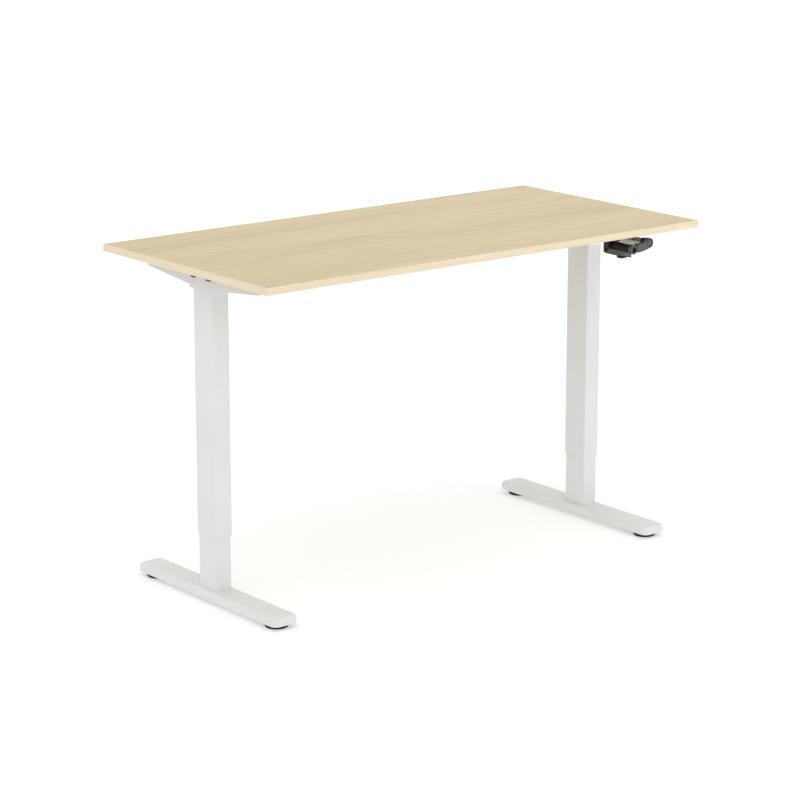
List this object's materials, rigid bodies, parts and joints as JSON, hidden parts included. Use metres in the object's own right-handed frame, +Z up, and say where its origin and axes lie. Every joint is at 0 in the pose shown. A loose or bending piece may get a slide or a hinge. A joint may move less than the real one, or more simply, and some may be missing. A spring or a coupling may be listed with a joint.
{
  "type": "height adjustable desk",
  "caption": "Hand-crank height adjustable desk: rectangular laminate top on two telescoping steel legs with flat feet.",
  "frame": {"origin": "on the floor under the middle of the table top, at the working height of 867 mm", "axes": "+X along the desk to the end with the crank, which is the user's right, +Y to the back, +Z up"},
  "size_m": [1.4, 0.7, 0.867],
  "materials": {
    "laminate": "satin",
    "edging": "satin",
    "white_steel": "fine matt powder coat",
    "black_plastic": "fine texture",
    "grey_plastic": "satin",
    "natural_plastic": "matt",
    "bare_steel": "bright",
    "cast_alloy": "cast",
    "brass": "machined"
  },
  "bodies": {
    "left_base": {"left_foot": "white_steel", "left_weld_nuts": "bare_steel", "left_base_plate": "bare_steel", "left_foot_screws": "bare_steel", "left_inner_column": "white_steel", "left_upper_bush": "natural_plastic", "left_nut_carrier": "natural_plastic", "left_spindle_nut": "brass"},
    "top_frame": {"tabletop": "laminate", "edge_band_front": "edging", "edge_band_back": "edging", "edge_band_left": "edging", "edge_band_right": "edging", "front_rail": "white_steel", "rear_rail": "white_steel", "rail_end_caps": "black_plastic", "top_screws": "bare_steel", "left_outer_column": "white_steel", "left_lower_bush": "natural_plastic", "left_gearbox_housing": "white_steel", "left_gearbox_cover": "cast_alloy", "left_spindle_bearing": "bare_steel", "left_wing_bracket": "white_steel", "right_outer_column": "white_steel", "right_lower_bush": "natural_plastic", "right_gearbox_housing": "white_steel", "right_gearbox_cover": "cast_alloy", "right_spindle_bearing": "bare_steel", "right_wing_bracket": "white_steel", "crank_bracket": "white_steel", "crank_bracket_screws": "bare_steel", "crank_bearing": "black_plastic", "crank_holder": "black_plastic"},
    "right_base": {"right_foot": "white_steel", "right_weld_nuts": "bare_steel", "right_base_plate": "bare_steel", "right_foot_screws": "bare_steel", "right_inner_column": "white_steel", "right_upper_bush": "natural_plastic", "right_nut_carrier": "natural_plastic", "right_spindle_nut": "brass"},
    "left_spindle": {"left_spindle": "bare_steel", "left_spindle_gear": "bare_steel"},
    "right_spindle": {"right_spindle": "bare_steel", "right_spindle_gear": "bare_steel"},
    "cross_drive": {"cross_rod": "bare_steel", "left_pinion": "bare_steel", "right_pinion": "bare_steel"},
    "crank_drive": {"crank_gear": "bare_steel", "crank_socket": "bare_steel"},
    "crank_sleeve": {"crank_sleeve": "bare_steel"},
    "crank": {"crank_rod": "bare_steel", "crank_arm": "black_plastic", "crank_cap": "grey_plastic"},
    "grip_fork": {"grip_spigot": "black_plastic"},
    "crank_grip": {"crank_grip": "black_plastic"},
    "left_front_glide": {"left_front_glide": "black_plastic"},
    "left_rear_glide": {"left_rear_glide": "black_plastic"},
    "right_front_glide": {"right_front_glide": "black_plastic"},
    "right_rear_glide": {"right_rear_glide": "black_plastic"}
  },
  "joints": [
    {"name": "lift", "type": "slide", "parent": "left_base", "child": "top_frame", "axis": [0, 0, 1], "range_m": [-0.132, 0.268]},
    {"name": "right_leg", "type": "slide", "parent": "top_frame", "child": "right_base", "axis": [0, 0, -1], "range_m": [-0.132, 0.268]},
    {"name": "left_spindle_turn", "type": "hinge", "parent": "top_frame", "child": "left_spindle", "pos_m": [-0.616, 0, 0.55], "axis": [0, 0, 1], "continuous": true},
    {"name": "right_spindle_turn", "type": "hinge", "parent": "top_frame", "child": "right_spindle", "pos_m": [0.616, 0, 0.55], "axis": [0, 0, 1], "continuous": true},
    {"name": "cross_rod_turn", "type": "hinge", "parent": "top_frame", "child": "cross_drive", "pos_m": [0, 0, 0.802], "axis": [1, 0, 0], "continuous": true},
    {"name": "crank_drive_turn", "type": "hinge", "parent": "top_frame", "child": "crank_drive", "pos_m": [0.616, -0.1, 0.802], "axis": [0, 1, 0], "continuous": true},
    {"name": "crank_turn", "type": "hinge", "parent": "top_frame", "child": "crank_sleeve", "pos_m": [0.616, -0.23, 0.802], "axis": [0, 1, 0], "range_deg": [-165, 0]},
    {"name": "crank_pull", "type": "slide", "parent": "crank_sleeve", "child": "crank", "axis": [0, -1, 0], "range_m": [0, 0.125]},
    {"name": "grip_fold", "type": "hinge", "parent": "crank", "child": "grip_fork", "pos_m": [0.56, -0.2495, 0.79], "axis": [-0.9778, 0, -0.2095], "range_deg": [0, 180]},
    {"name": "grip_spin", "type": "hinge", "parent": "grip_fork", "child": "crank_grip", "pos_m": [0.56, -0.2, 0.79], "axis": [0, 1, 0], "continuous": true},
    {"name": "left_front_level", "type": "slide", "parent": "left_base", "child": "left_front_glide", "axis": [0, 0, -1], "range_m": [0, 0.012]},
    {"name": "left_rear_level", "type": "slide", "parent": "left_base", "child": "left_rear_glide", "axis": [0, 0, -1], "range_m": [0, 0.012]},
    {"name": "right_front_level", "type": "slide", "parent": "right_base", "child": "right_front_glide", "axis": [0, 0, -1], "range_m": [0, 0.012]},
    {"name": "right_rear_level", "type": "slide", "parent": "right_base", "child": "right_rear_glide", "axis": [0, 0, -1], "range_m": [0, 0.012]}
  ],
  "couplings": [
    {"joint": "right_leg", "follows": "lift", "ratio": 1},
    {"joint": "left_spindle_turn", "follows": "lift", "rad_per_m": -1047.2},
    {"joint": "right_spindle_turn", "follows": "lift", "rad_per_m": -1047.2},
    {"joint": "cross_rod_turn", "follows": "lift", "rad_per_m": 1570.8},
    {"joint": "crank_drive_turn", "follows": "lift", "rad_per_m": 1570.8}
  ]
}
